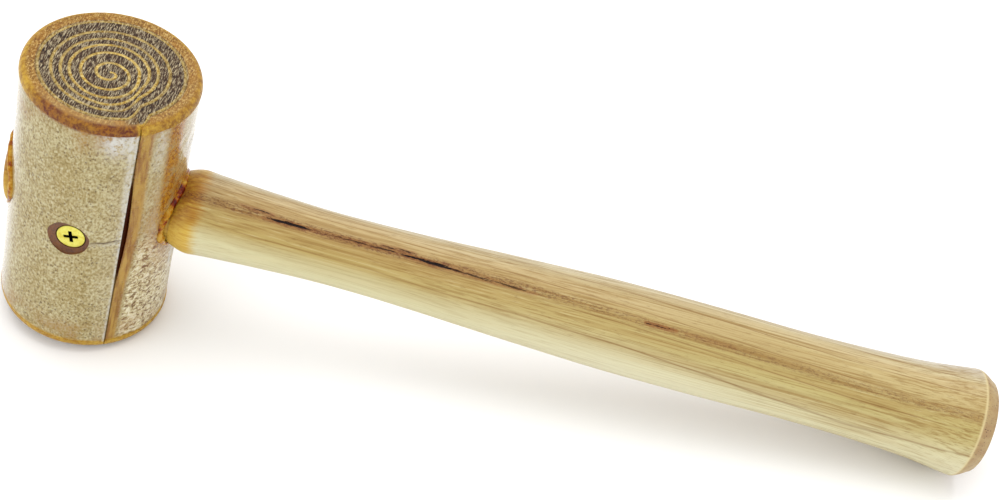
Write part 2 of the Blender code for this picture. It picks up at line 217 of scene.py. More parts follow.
class Shader:
    """A Principled material and short calls that add nodes to it."""

    def __init__(self, name):
        self.material = bpy.data.materials.new(name)
        self.material.use_nodes = True
        self.tree = self.material.node_tree
        self.shader = self.tree.nodes["Principled BSDF"]

    def set(self, socket, value):
        self.shader.inputs[socket].default_value = value

    def link(self, value, socket):
        """Connect a node's output, or set a number or a screen colour, on an input socket."""
        if isinstance(value, bpy.types.NodeSocket):
            self.tree.links.new(value, socket)
        else:
            screen_colour = isinstance(value, tuple) and len(value) == 3
            socket.default_value = srgb(value) if screen_colour else value

    def shade(self, socket, value):
        self.link(value, self.shader.inputs[socket])

    def object_place(self):
        return self.tree.nodes.new("ShaderNodeTexCoord").outputs["Object"]

    def mask(self, name):
        node = self.tree.nodes.new("ShaderNodeAttribute")
        node.attribute_name = name
        return node.outputs["Fac"]

    def stretch(self, vector, scale, rotation=(0, 0, 0)):
        node = self.tree.nodes.new("ShaderNodeMapping")
        node.inputs["Scale"].default_value = scale
        node.inputs["Rotation"].default_value = rotation
        self.link(vector, node.inputs["Vector"])
        return node.outputs["Vector"]

    def noise(self, vector, size, detail=2.0, roughness=0.5, distortion=0.0):
        """Noise from 0 to 1 whose grains measure about size."""
        node = self.tree.nodes.new("ShaderNodeTexNoise")
        node.inputs["Scale"].default_value = 1 / size
        node.inputs["Detail"].default_value = detail
        node.inputs["Roughness"].default_value = roughness
        node.inputs["Distortion"].default_value = distortion
        self.link(vector, node.inputs["Vector"])
        return node.outputs["Fac"]

    def cells(self, vector, size):
        node = self.tree.nodes.new("ShaderNodeTexVoronoi")
        node.inputs["Scale"].default_value = 1 / size
        self.link(vector, node.inputs["Vector"])
        return node.outputs["Distance"]

    def math(self, operation, first, second=0.0):
        node = self.tree.nodes.new("ShaderNodeMath")
        node.operation = operation
        self.link(first, node.inputs[0])
        self.link(second, node.inputs[1])
        return node.outputs[0]

    def times(self, first, second):
        return self.math("MULTIPLY", first, second)

    def plus(self, first, second):
        return self.math("ADD", first, second)

    def minus(self, first, second):
        return self.math("SUBTRACT", first, second)

    def rise(self, value, low, high, to_low=0.0, to_high=1.0):
        """Smooth step of a value from low to high."""
        node = self.tree.nodes.new("ShaderNodeMapRange")
        node.interpolation_type = "SMOOTHSTEP"
        self.link(value, node.inputs["Value"])
        node.inputs["From Min"].default_value = low
        node.inputs["From Max"].default_value = high
        node.inputs["To Min"].default_value = to_low
        node.inputs["To Max"].default_value = to_high
        return node.outputs["Result"]

    def mix(self, amount, first, second, blend="MIX"):
        node = self.tree.nodes.new("ShaderNodeMix")
        node.data_type = "RGBA"
        node.blend_type = blend
        self.link(amount, node.inputs["Factor"])
        self.link(first, node.inputs["A"])
        self.link(second, node.inputs["B"])
        return node.outputs["Result"]

    def ramp(self, value, stops):
        node = self.tree.nodes.new("ShaderNodeValToRGB")
        points = node.color_ramp.elements
        while len(points) < len(stops):
            points.new(0.5)
        for point, (place, colour) in zip(points, stops):
            point.position = place
            point.color = srgb(colour)
        self.link(value, node.inputs["Fac"])
        return node.outputs["Color"]

    def split(self, vector):
        node = self.tree.nodes.new("ShaderNodeSeparateXYZ")
        self.link(vector, node.inputs[0])
        return node.outputs

    def bump(self, height, distance, below=None):
        node = self.tree.nodes.new("ShaderNodeBump")
        node.inputs["Strength"].default_value = 1.0
        node.inputs["Distance"].default_value = distance
        self.link(height, node.inputs["Height"])
        if below is not None:
            self.link(below, node.inputs["Normal"])
        return node.outputs["Normal"]


STUDIO_GAIN = 1.34  # how much brighter than its base colour a matt surface shows
SHEEN_LIFT = 0.032  # and how much white its sheen adds


def srgb(colour):
    """Base colour that shows as this 8-bit screen colour under the studio's light."""
    def base(value):
        value /= 255
        shown = value / 12.92 if value <= 0.04045 else ((value + 0.055) / 1.055) ** 2.4
        return max((shown - SHEEN_LIFT) / STUDIO_GAIN, 0.1 * shown)
    return (*map(base, colour), 1.0)


def rim_colour(m, place):
    """Burnished rim: orange-brown, darkest towards the screw and the seam."""
    blotch = m.noise(place, 1.5 * MM, 4, 0.7)
    broad = m.noise(place, 6 * MM, 2)
    gold = m.mix(m.rise(blotch, 0.35, 0.65), (180, 132, 26), (222, 182, 76))
    burnt = m.mix(m.rise(blotch, 0.36, 0.64), (104, 54, 2), (166, 110, 14))
    amount = m.times(m.mask("burnt"), m.rise(broad, 0.2, 0.6, 0.75, 1.0))
    return m.mix(amount, gold, burnt)


def hide_side_material():
    """Grain side of the shellacked hide: cream with dark pores, golden where it is skived."""
    m = Shader("hide_grain_side")
    place = m.object_place()
    cloudy = m.noise(place, 9 * MM, 3)
    fine = m.noise(m.stretch(place, (1, 1, 0.75)), 0.72 * MM, 3, 0.65)
    pebble = m.cells(m.stretch(place, (1, 1, 0.7), (0.3, 0.4, 0)), 0.98 * MM)
    pore_patch = m.noise(place, 3.2 * MM, 2)
    pore_mark = m.times(m.rise(pebble, 0.40, 0.14), m.rise(pore_patch, 0.34, 0.62, 0.25))
    cream = m.mix(m.rise(cloudy, 0.3, 0.7), (188, 170, 118), (204, 191, 146))
    cream = m.mix(m.rise(fine, 0.44, 0.64, 0.0, 0.8), cream, (150, 128, 76))
    cream = m.mix(m.rise(fine, 0.46, 0.34, 0.0, 0.65), cream, (222, 213, 176))
    cream = m.mix(m.times(pore_mark, 0.66), cream, (108, 84, 42))
    # Painted shade: the crease's groove is coloured dark.
    cream = m.mix(m.mask("crease"), cream, (98, 72, 34))
    wrinkle_noise = m.noise(m.stretch(place, (1, 1, 1.35)), 1.5 * MM, 4, 0.65, 0.8)
    coarse = m.mix(m.rise(wrinkle_noise, 0.38, 0.49), (120, 84, 34), (212, 194, 146))
    coarse = m.mix(m.rise(wrinkle_noise, 0.49, 0.60), coarse, (248, 240, 208))
    colour = m.mix(m.mask("coarse"), cream, coarse)
    streaky = m.noise(m.stretch(place, (1, 1, 0.16)), 1.5 * MM, 3, 0.6)
    gold = m.mix(m.rise(streaky, 0.35, 0.65), (154, 106, 30), (194, 154, 74))
    colour = m.mix(m.mask("stripe"), colour, gold)
    amber_patch = m.rise(m.noise(place, 4 * MM, 4, 0.65), 0.30, 0.56, 0.35, 1.0)
    amber = m.times(m.mask("amber"), amber_patch)
    amber_tone = m.mix(m.rise(fine, 0.35, 0.65), (142, 84, 14), (198, 142, 52))
    colour = m.mix(amber, colour, amber_tone)
    colour = m.mix(m.mask("rim"), colour, rim_colour(m, place))
    # Frosted patch, plus painted highlights and painted reflections: these spots are coloured
    # pale.
    frost_and_highlight_edge = m.rise(m.noise(place, 1.2 * MM, 4, 0.7), 0.32, 0.56)
    frost_and_painted_highlight = m.times(m.mask("frost_and_painted_highlight"), frost_and_highlight_edge)
    colour = m.mix(frost_and_painted_highlight, colour, (224, 221, 212))
    # Painted shade: dark brown inside the open seam, with its sheen dulled; the same mask also
    # carries a thin dark line low in the stripe.
    shade = m.mask("shade")
    colour = m.mix(shade, colour, (84, 40, 8))
    m.shade("Base Color", colour)
    gloss = m.mask("gloss")
    rough = m.minus(m.rise(fine, 0.3, 0.7, 0.34, 0.50), m.times(gloss, 0.12))
    m.shade("Roughness", m.plus(rough, m.times(frost_and_painted_highlight, 0.2)))
    lit = m.minus(1.0, shade)
    m.shade("Specular IOR Level", m.times(lit, 0.28))
    m.shade("Coat Weight", m.times(lit, m.rise(gloss, 0.0, 1.0, 0.2, 1.0)))
    m.shade("Coat Roughness", m.rise(gloss, 0.0, 1.0, 0.26, 0.09))
    m.set("Subsurface Weight", 0.06)
    m.set("Subsurface Radius", (2.0 * MM, 1.2 * MM, 0.5 * MM))
    m.set("Subsurface Scale", 1.0)
    relief = m.minus(m.times(fine, 0.6), m.times(pore_mark, 0.7))
    relief = m.plus(relief, m.times(wrinkle_noise, m.times(m.mask("coarse"), 1.2)))
    m.shade("Normal", m.bump(relief, 0.20 * MM))
    return m.material


def hide_end_material():
    """Sawn end of the roll: fibrous grey-brown wraps with the pale grain layer between them."""
    m = Shader("hide_sawn_end")
    place = m.object_place()
    skin = m.mask("skin")
    golden = m.mask("golden")
    fibres = m.noise(m.stretch(place, (1, 0.17, 1)), 0.36 * MM, 3, 0.7)
    tufts = m.noise(m.stretch(place, (1, 0.15, 1)), 0.42 * MM, 2, 0.6)
    weave = m.noise(place, 0.8 * MM, 3, 0.6)
    patchy = m.noise(place, 5 * MM, 3)
    core = m.ramp(fibres, (
        (0.38, (44, 31, 25)),
        (0.47, (80, 62, 50)),
        (0.54, (112, 94, 72)),
        (0.61, (206, 190, 156)),
    ))
    core = m.mix(m.rise(tufts, 0.55, 0.62, 0.0, 0.6), core, (200, 186, 154))
    core = m.mix(m.rise(patchy, 0.40, 0.66, 0.0, 0.35), core, (84, 62, 54))
    mingled = m.plus(m.times(fibres, 0.5), m.times(weave, 0.5))
    gold = m.ramp(mingled, (
        (0.40, (112, 70, 16)),
        (0.50, (162, 120, 50)),
        (0.60, (222, 188, 122)),
    ))
    pale = m.times(m.mask("burnt"), 0.45)
    gold = m.mix(pale, gold, (198, 164, 112))
    gold = m.mix(m.rise(patchy, 0.35, 0.7, 0.0, 0.4), gold, (178, 122, 44))
    colour = m.mix(golden, core, gold)
    wander = m.times(m.minus(weave, 0.5), 0.32 * MM)
    layer = m.plus(skin, wander)
    line = m.times(m.rise(layer, -0.04 * MM, 0.05 * MM), m.rise(layer, 0.92 * MM, 0.66 * MM))
    from_core = m.plus(m.split(place)["Y"], -CORE_OFFSET)
    from_core = m.math("SQRT", m.plus(m.math("POWER", from_core, 2.0),
                                      m.math("POWER", m.split(place)["X"], 2.0)))
    vary = m.rise(m.noise(place, 3 * MM, 2), 0.3, 0.65, 0.55, 1.0)
    vary = m.times(vary, m.rise(from_core, 9 * MM, 16 * MM, 1.0, 0.66))
    line = m.times(line, vary)
    line_tone = m.mix(m.rise(weave, 0.38, 0.62), (190, 150, 62), (240, 214, 138))
    colour = m.mix(line, colour, line_tone)
    colour = m.mix(m.mask("rim"), colour, rim_colour(m, place))
    crack = m.rise(skin, 0.08 * MM, 0.0, 0.0, 0.45)
    colour = m.mix(crack, colour, (60, 42, 26))
    # Painted shade of the open seam, dark brown wherever the mask reaches.
    shade = m.mask("shade")
    colour = m.mix(shade, colour, (52, 22, 4))
    m.shade("Base Color", colour)
    m.shade("Roughness", m.rise(golden, 0.0, 1.0, 0.62, 0.48))
    m.set("Specular IOR Level", 0.25)
    m.shade("Coat Weight", m.rise(golden, 0.0, 1.0, 0.04, 0.14))
    m.set("Coat Roughness", 0.25)
    relief = m.plus(fibres, m.times(tufts, 0.6))
    m.shade("Normal", m.bump(relief, 0.22 * MM))
    return m.material


def hide_bore_material():
    """Cut faces inside the counterbore and the bores: brown, dull and fibrous."""
    m = Shader("hide_bored")
    place = m.object_place()
    fibres = m.noise(place, 0.6 * MM, 4, 0.7)
    blotch = m.noise(place, 2.5 * MM, 3)
    colour = m.mix(m.rise(fibres, 0.3, 0.7), (92, 58, 34), (136, 92, 56))
    colour = m.mix(m.rise(blotch, 0.4, 0.7, 0.0, 0.5), colour, (146, 92, 40))
    m.shade("Base Color", colour)
    m.shade("Roughness", m.rise(fibres, 0.3, 0.7, 0.4, 0.65))
    m.set("Coat Weight", 0.15)
    m.set("Coat Roughness", 0.3)
    m.shade("Normal", m.bump(fibres, 0.2 * MM))
    return m.material


def wood_material():
    """Turned hickory: growth layers that tip towards the screw's side, pale below (sapwood and
    painted light).
    """
    m = Shader("hickory")
    place = m.object_place()
    axes = m.split(place)
    long_fine = m.noise(m.stretch(place, (0.012, 1, 1)), 0.55 * MM, 3, 0.6)
    long_broad = m.noise(m.stretch(place, (0.02, 1, 1)), 2.4 * MM, 2, 0.5)
    ticks = m.noise(m.stretch(place, (0.13, 1, 1)), 0.42 * MM, 3, 0.65)
    sway = m.noise(m.stretch(place, (1, 0.3, 0.3)), 45 * MM, 1)
    sway = m.times(m.minus(sway, 0.5), 1.2 * MM)
    slope = m.times(m.math("MAXIMUM", m.minus(axes["X"], 85 * MM), 0.0), -0.038)
    tip = math.radians(20)
    depth = m.plus(m.times(axes["Y"], -math.cos(tip)), m.times(axes["Z"], -math.sin(tip)))
    depth = m.plus(m.plus(depth, slope), sway)
    across = m.times(m.plus(depth, 20 * MM), 1 / (40 * MM))
    # Wood tone across the grain near the roll (here) and far from it (below). The pale stops at
    # the start, the upper back of the grip, are painted sheen; the pale stops at the end, its
    # front and underside, are partly sapwood, partly painted light.
    near_tone_and_painted_light = m.ramp(across, (
        (0.200, (229, 220, 192)),
        (0.310, (224, 211, 176)),
        (0.350, (219, 199, 158)),
        (0.388, (212, 188, 142)),
        (0.425, (200, 173, 121)),
        (0.465, (196, 168, 114)),
        (0.500, (186, 158, 103)),
        (0.575, (188, 160, 102)),
        (0.610, (196, 172, 110)),
        (0.690, (197, 173, 108)),
        (0.725, (209, 194, 140)),
        (0.765, (227, 219, 171)),
        (0.850, (236, 231, 192)),
    ))
    far_tone_and_painted_light = m.ramp(across, (
        (0.030, (228, 219, 198)),
        (0.100, (221, 209, 178)),
        (0.160, (222, 206, 161)),
        (0.220, (217, 196, 148)),
        (0.310, (209, 188, 132)),
        (0.390, (206, 185, 130)),
        (0.425, (201, 179, 122)),
        (0.500, (197, 177, 115)),
        (0.575, (205, 189, 126)),
        (0.630, (208, 192, 133)),
        (0.670, (222, 211, 160)),
        (0.730, (238, 232, 192)),
        (0.850, (250, 247, 224)),
    ))
    tone_and_painted_light = m.mix(m.rise(axes["X"], 70 * MM, 220 * MM), near_tone_and_painted_light, far_tone_and_painted_light)
    rings = m.math("PINGPONG", m.plus(depth, 108 * MM + 3.4 * MM), 2.7 * MM)
    ring_line = m.times(m.rise(rings, 0.30 * MM, 0.0), m.rise(depth, 12.0 * MM, 11.0 * MM))
    heart = m.rise(depth, 10.5 * MM, 5.0 * MM, 0.3, 1.0)
    colour = m.mix(m.times(m.rise(long_broad, 0.35, 0.7, 0.0, 0.5), heart), tone_and_painted_light, (182, 150, 92))
    fine_lines = m.times(m.rise(long_fine, 0.46, 0.66, 0.0, 0.62), heart)
    colour = m.mix(fine_lines, colour, (156, 122, 68))
    colour = m.mix(m.rise(long_fine, 0.45, 0.28, 0.0, 0.35), colour, (232, 216, 168))
    tick_mark = m.times(m.rise(ticks, 0.56, 0.70), heart)
    colour = m.mix(m.times(tick_mark, 0.35), colour, (136, 98, 52))
    ring_strength = m.times(ring_line, m.rise(long_broad, 0.3, 0.6, 0.5, 1.0))
    colour = m.mix(m.times(ring_strength, 0.55), colour, (138, 98, 50))
    band = m.math("ABSOLUTE", m.mask("band"))
    in_band = m.times(m.rise(band, 2.3 * MM, 0.5 * MM), m.mask("band_power"))
    band_lines = m.times(in_band, m.rise(long_fine, 0.3, 0.6, 0.25, 0.75))
    colour = m.mix(band_lines, colour, (154, 110, 62))
    pores = m.noise(m.stretch(place, (0.33, 1, 1)), 0.42 * MM, 3, 0.75)
    pore_mark = m.times(in_band, m.rise(pores, 0.50, 0.60))
    colour = m.mix(m.times(pore_mark, 0.85), colour, (112, 66, 32))
    torn = m.noise(m.stretch(place, (0.13, 1, 1)), 0.6 * MM, 4, 0.75)
    ragged = m.times(m.minus(torn, 0.5), 1.7 * MM)
    off = m.plus(m.mask("streak"), ragged)
    mineral = m.times(m.rise(off, 0.12 * MM, -0.12 * MM), m.mask("streak_power"))
    halo = m.times(m.rise(off, 0.9 * MM, 0.0, 0.0, 0.5), m.mask("streak_power"))
    colour = m.mix(halo, colour, (150, 90, 40))
    colour = m.mix(m.math("MINIMUM", mineral, 1.0), colour, (58, 28, 14))
    stain_edge = m.plus(m.mask("stain"), m.times(m.minus(long_fine, 0.5), 0.6))
    stain = m.rise(stain_edge, 0.2, 0.8)
    orange = m.times(m.rise(long_fine, 0.3, 0.7), m.rise(axes["Z"], -9 * MM, -3 * MM))
    amber = m.mix(orange, (1.0, 0.74, 0.18, 1), (0.95, 0.60, 0.10, 1))
    colour = m.mix(stain, colour, amber, "MULTIPLY")
    low_gold = m.times(stain, m.rise(axes["Z"], -4 * MM, -9 * MM, 0.0, 0.75))
    colour = m.mix(low_gold, colour, (216, 180, 84))
    end_pores = m.cells(m.stretch(place, (0.2, 1, 1)), 0.7 * MM)
    end_colour = m.mix(m.rise(end_pores, 0.30, 0.12, 0.0, 0.8), (178, 146, 102), (86, 54, 32))
    end_colour = m.mix(m.rise(long_broad, 0.3, 0.7, 0.0, 0.6), end_colour, (206, 182, 128))
    colour = m.mix(m.mask("end"), colour, end_colour)
    colour = m.mix(m.mask("edge"), colour, (234, 216, 164))
    m.shade("Base Color", colour)
    m.shade("Roughness", m.rise(long_fine, 0.3, 0.8, 0.42, 0.58))
    m.shade("Specular IOR Level", m.rise(mineral, 0.0, 1.0, 0.35, 0.1))
    m.set("Coat Weight", 0.08)
    m.set("Coat Roughness", 0.3)
    relief = m.minus(m.times(long_fine, -0.5), m.times(pore_mark, 0.8))
    m.shade("Normal", m.bump(m.minus(relief, m.times(tick_mark, 0.3)), 0.10 * MM))
    return m.material


def wedge_material():
    m = Shader("wedge_oak")
    place = m.object_place()
    grain = m.noise(m.stretch(place, (0.05, 1, 1)), 0.5 * MM, 3, 0.6)
    pores = m.cells(m.stretch(place, (0.2, 1, 1)), 0.5 * MM)
    colour = m.mix(m.rise(grain, 0.3, 0.7), (124, 80, 44), (168, 118, 70))
    colour = m.mix(m.rise(pores, 0.25, 0.1, 0.0, 0.7), colour, (70, 40, 22))
    m.shade("Base Color", colour)
    m.set("Roughness", 0.5)
    m.shade("Normal", m.bump(m.plus(grain, pores), 0.1 * MM))
    return m.material


def brass_material():
    """Yellow-plated steel: bright, with fine turning marks and small dull patches."""
    m = Shader("yellow_plating")
    place = m.object_place()
    axes = m.split(place)
    across = m.math("POWER", m.minus(axes["X"], SCREW_ALONG), 2.0)
    along = m.math("POWER", m.minus(axes["Z"], SCREW_RISE), 2.0)
    radius = m.math("SQRT", m.plus(across, along))
    turning = m.noise(m.stretch(place, (0.2, 1, 0.2)), 0.15 * MM, 2)
    rings = m.math("SINE", m.times(radius, TAU / (0.16 * MM)))
    dull = m.noise(place, 1.6 * MM, 4, 0.6)
    colour = m.mix(m.rise(dull, 0.35, 0.7), (252, 246, 130), (236, 220, 96))
    # Painted shade: the cross recess is coloured near black and kept dull; a thin ring near the
    # head's edge is darkened too.
    recess_shade = m.rise(axes["Y"], SCREW_FACE + 0.06 * MM, SCREW_FACE + 0.22 * MM)
    recess_shade = m.times(recess_shade, m.rise(radius, 2.75 * MM, 2.6 * MM))
    rim_line = m.rise(radius, SCREW_HEAD_RADIUS - 0.22 * MM, SCREW_HEAD_RADIUS - 0.04 * MM)
    dark = m.math("MAXIMUM", recess_shade, m.times(rim_line, 0.75))
    colour = m.mix(dark, colour, (30, 22, 8))
    m.shade("Base Color", colour)
    m.shade("Metallic", m.rise(dark, 0.0, 1.0, 0.8, 0.1))
    m.shade("Specular IOR Level", m.rise(dark, 0.0, 1.0, 0.5, 0.05))
    m.shade("Roughness", m.rise(dull, 0.3, 0.7, 0.26, 0.40))
    m.shade("Normal", m.bump(m.plus(m.times(rings, 0.3), turning), 0.012 * MM))
    return m.material


def resin_material():
    """Set shellac and resin squeezed out at the joint: amber to nearly black, glossy."""
    m = Shader("set_shellac")
    place = m.object_place()
    axes = m.split(place)
    dark = m.times(m.rise(axes["Y"], -10 * MM, -8.5 * MM), m.rise(axes["Y"], -2 * MM, -4 * MM))
    dark = m.times(dark, m.rise(axes["Z"], 0.0, 3 * MM))
    dark = m.times(dark, m.rise(axes["X"], -5 * MM, 5 * MM, 0.0, 0.22))
    thick = m.plus(m.noise(place, 2.4 * MM, 3, 0.6), 0.08)
    thick = m.minus(thick, dark)
    colour = m.ramp(thick, (
        (0.34, (100, 34, 6)),
        (0.44, (150, 76, 10)),
        (0.56, (190, 134, 40)),
        (0.70, (216, 174, 84)),
    ))
    m.shade("Base Color", colour)
    m.set("Roughness", 0.16)
    m.set("Specular IOR Level", 0.16)
    m.shade("Normal", m.bump(m.noise(place, 1.0 * MM, 3), 0.2 * MM))
    return m.material


# ---------------------------------------------------------------- numeric helpers

def smoothstep(value, low=0.0, high=1.0):
    value = np.clip((np.asarray(value, float) - low) / (high - low), 0, 1)
    return value * value * (3 - 2 * value)


def bell(value, centre, width):
    return np.exp(-((np.asarray(value, float) - centre) / width) ** 2)


def corner_value(cell, seed):
    """Repeatable number from -1 to 1 for each lattice cell."""
    x, y, z = np.moveaxis(cell, -1, 0)
    mixed = x * 73856093 ^ y * 19349663 ^ z * 83492791 ^ seed * 2654435
    mixed = (mixed ^ (mixed >> 13)) * 1274126177
    return ((mixed ^ (mixed >> 16)) & 0xFFFF) / 32767.5 - 1


def noise(points, size, seed, octaves=1):
    """Smooth noise from -1 to 1 at each point, with grains of about size (one or three axes)."""
    total = np.zeros(points.shape[:-1])
    weight_sum = 0.0
    for octave in range(octaves):
        place = points / np.asarray(size) * 2 ** octave + 1000.0
        cell = np.floor(place).astype(np.int64)
        part = place - cell
        part = part * part * (3 - 2 * part)
        layer = np.zeros_like(total)
        for index in range(8):
            corner = np.array([index & 1, index >> 1 & 1, index >> 2 & 1])
            share = np.where(corner, part, 1 - part).prod(axis=-1)
            layer += share * corner_value(cell + corner, seed + 31 * octave)
        total += layer * 0.5 ** octave
        weight_sum += 0.5 ** octave
    return total / weight_sum


def grid_quads(rows, columns, closed):
    """Quads of a grid of vertices numbered row by row, closed around or open."""
    index = np.arange(rows * columns).reshape(rows, columns)
    here = index if closed else index[:, :-1]
    beside = np.roll(index, -1, axis=1) if closed else index[:, 1:]
    quads = np.stack([here[:-1], beside[:-1], beside[1:], here[1:]], axis=-1)
    return quads.reshape(-1, 4).tolist()


def new_mesh_object(name, points, faces, masks=()):
    """New object whose mesh carries each mask as a float attribute on its vertices."""
    mesh = bpy.data.meshes.new(name)
    mesh.from_pydata(np.asarray(points).tolist(), [], faces)
    for key, values in dict(masks).items():
        layer = mesh.attributes.new(key, "FLOAT", "POINT")
        layer.data.foreach_set("value", np.asarray(values, dtype=np.float32))
    item = bpy.data.objects.new(name, mesh)
    bpy.context.scene.collection.objects.link(item)
    return item


def shape_object(name, shape):
    """New object from a bmesh, which is freed."""
    item = bpy.data.objects.new(name, bpy.data.meshes.new(name))
    shape.to_mesh(item.data)
    shape.free()
    bpy.context.scene.collection.objects.link(item)
    return item


def baked(item):
    """Replace an object's mesh with its evaluated form and drop the modifiers."""
    depsgraph = bpy.context.evaluated_depsgraph_get()
    mesh = bpy.data.meshes.new_from_object(item.evaluated_get(depsgraph))
    item.modifiers.clear()
    item.data = mesh
    mesh.name = item.name
    return item


def cut_with(item, cutters):
    """Cut solids out of an object, remove them, and clear the tiny faces the cut leaves."""
    for cutter in cutters:
        boolean = item.modifiers.new(cutter.name, "BOOLEAN")
        boolean.object = cutter
        boolean.solver = "EXACT"
    baked(item)
    shape = bmesh.new()
    shape.from_mesh(item.data)
    bmesh.ops.remove_doubles(shape, verts=shape.verts, dist=SPECK)
    bmesh.ops.dissolve_degenerate(shape, edges=shape.edges, dist=SPECK)
    shape.to_mesh(item.data)
    shape.free()
    for cutter in cutters:
        bpy.data.objects.remove(cutter)
    return item


def smooth(item, angle=50):
    item.data.shade_smooth()
    item.data.set_sharp_from_angle(angle=math.radians(angle))


def lathe(name, profile, steps):
    """Closed solid turned about Z from (radius, height) points; the two ends lie on the axis."""
    rings = profile[1:-1]
    angles = np.arange(steps) * TAU / steps
    points = [(r * math.cos(a), r * math.sin(a), h) for r, h in rings for a in angles]
    faces = [tuple(reversed(quad)) for quad in grid_quads(len(rings), steps, True)]
    top = len(points)
    points.append((0, 0, profile[0][1]))
    points.append((0, 0, profile[-1][1]))
    last = (len(rings) - 1) * steps
    for step in range(steps):
        beside = (step + 1) % steps
        faces.append((step, beside, top))
        faces.append((last + beside, last + step, top + 1))
    if profile[0][1] < profile[-1][1]:
        faces = [tuple(reversed(face)) for face in faces]
    return new_mesh_object(name, points, faces)


def finish_piece(item, materials, slot, *nodes):
    for material in materials:
        item.data.materials.append(material)
    item.matrix_world = MALLET
    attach(item, "root")
    if nodes:
        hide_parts(*nodes)
    return item


# ---------------------------------------------------------------- roll of hide

TURN_SAMPLES = 420  # samples of the strip per turn
THICKNESS_SAMPLES = 13  # and across its thickness
SIDE_ROWS = 232


def sheet_thickness(turn):
    return SHEET_THICKNESS + SHEET_SWING * np.cos(TAU * (turn - 0.3) / SHEET_PERIOD)


def lap_share(past_end, wraps):
    """Share of its thickness that the strip's end adds to the wraps under it."""
    if wraps == 1:
        bend = LAP_STEP * smoothstep(past_end, -0.0025, 0.0)
        return bend + (1 - LAP_STEP) * smoothstep(past_end, 0.0, LAP_LENGTH)
    return smoothstep(past_end / (LAP_LENGTH * 1.75 ** (wraps - 1)) + 0.4)


def wrap_radius(turn):
    turn = np.asarray(turn, float)
    radius = np.full(turn.shape, ROLL_RADIUS)
    for wraps in range(1, 9):
        past_end = turn - wraps
        radius -= sheet_thickness(past_end) * lap_share(past_end, wraps)
    return np.maximum(radius, CORE_RADIUS * (1 - 0.6 * smoothstep(turn, 7.0, 8.3)))


def signed_degrees(azimuth):
    return np.degrees((azimuth + math.pi) % TAU - math.pi)


def across_samples():
    """Shares of the strip's thickness at which it is sampled, closest near its grain side."""
    return (np.arange(THICKNESS_SAMPLES + 1) / THICKNESS_SAMPLES) ** 1.7


def seam_azimuth(height):
    return SEAM_AZIMUTH + SEAM_LEAN * height


def seam_gape(height):
    """Width of the open seam, a lens between two heights and a slit elsewhere."""
    share = np.clip((height - SEAM_GAPE_LOW) / (SEAM_GAPE_HIGH - SEAM_GAPE_LOW), 0, 1)
    return SEAM_SLIT + SEAM_GAPE * np.sin(math.pi * share) ** 1.6


def seam_depth(height):
    return 0.6 * MM + 0.9 * MM * (seam_gape(height) - SEAM_SLIT) / SEAM_GAPE


def strip_azimuth(turn, height):
    """Azimuth of the strip at a turn: turn 0 is its outer end, just right of the seam."""
    gape = seam_gape(height) / ROLL_RADIUS
    return seam_azimuth(height) + gape + TAU * turn - gape * np.clip(turn, 0, 1)


def stripe_width(height):
    """Width of the skived, smooth stretch beside the strip's end, in turns."""
    return 0.0245 + 0.0055 * np.clip(height / ROLL_HALF, -1, 1)


def rim_height(radius):
    """Height of the rounded end face at a radius."""
    over = np.clip((radius - (ROLL_RADIUS - RIM_INSET)) / RIM_INSET, 0, 1)
    return ROLL_HALF - RIM_DROP * (1 - np.sqrt(1 - over ** 2))


def burnt_rim(azimuth, sign):
    """How dark the rim is: most on the screw's side of the upper end, least on the lower end."""
    degrees = signed_degrees(azimuth)
    front = smoothstep(degrees, -150, -115) * (1 - smoothstep(degrees, -59, -57.5))
    right = 0.45 * smoothstep(degrees, -57.5, -40) * (1 - smoothstep(degrees, 20, 60))
    return np.where(sign > 0, np.maximum(front, np.maximum(right, 0.12)), 0.05)


def end_face(sign):
    """Points and masks of one end face, as rows along the strip and columns across it."""
    turns = np.arange(int(SHEET_TURNS * TURN_SAMPLES) + 1) / TURN_SAMPLES
    outer = wrap_radius(turns)
    inner = wrap_radius(turns + 1)
    radius = outer[:, None] + (inner - outer)[:, None] * across_samples()
    height = sign * ROLL_HALF
    azimuth = strip_azimuth(turns, height)[:, None] + np.zeros_like(radius)
    offset = CORE_OFFSET * (1 - radius / ROLL_RADIUS)
    x = radius * np.cos(azimuth)
    y = radius * np.sin(azimuth) + offset
    skin = outer[:, None] - radius
    inner_gap = radius - inner[:, None]
    flat = np.stack([x, y, np.full_like(x, height)], -1)
    inside = smoothstep(ROLL_RADIUS - radius, 0.2 * MM, 1.4 * MM)
    groove = np.exp(-(skin / (0.14 * MM)) ** 2) + np.exp(-(inner_gap / (0.14 * MM)) ** 2)
    relief = 0.16 * MM * np.minimum(groove, 1) * smoothstep(turns, 0.0, 0.01)[:, None]
    relief = relief * np.where(turns < 1, inside.T, 1.0).T
    relief += 0.05 * MM * (1 + noise(flat, np.array([0.9, 6.0, 9.0]) * MM, 5, 2)) * inside
    step = noise(np.stack([turns * 3.1, turns * 0, turns * 0], -1), 1.0, 9)
    relief += 0.07 * MM * (1 + step[:, None]) * inside
    relief -= 0.06 * MM * np.exp(-((skin - 0.26 * MM) / (0.18 * MM)) ** 2) * inside
    true_radius = np.hypot(x, y)
    z = sign * (rim_height(true_radius) - np.maximum(relief, 0) - 0.02 * MM)
    tail = smoothstep(turns, 0.965, 0.99)[:, None] * smoothstep(skin, 1.6 * MM, 2.4 * MM)
    golden = 1 - np.maximum(smoothstep(turns, 0.992, 1.004)[:, None], 0.8 * tail)
    masks = {
        "skin": np.where(turns[:, None] < 0.97, skin, np.minimum(skin, 3 * MM)),
        "golden": golden,
        "rim": smoothstep(true_radius, ROLL_RADIUS - 2.3 * MM, ROLL_RADIUS - 1.1 * MM),
        "burnt": burnt_rim(azimuth, sign),
    }
    masks["skin"][turns < 1] += 0.6 * MM
    return np.stack([x, y, z], -1), masks


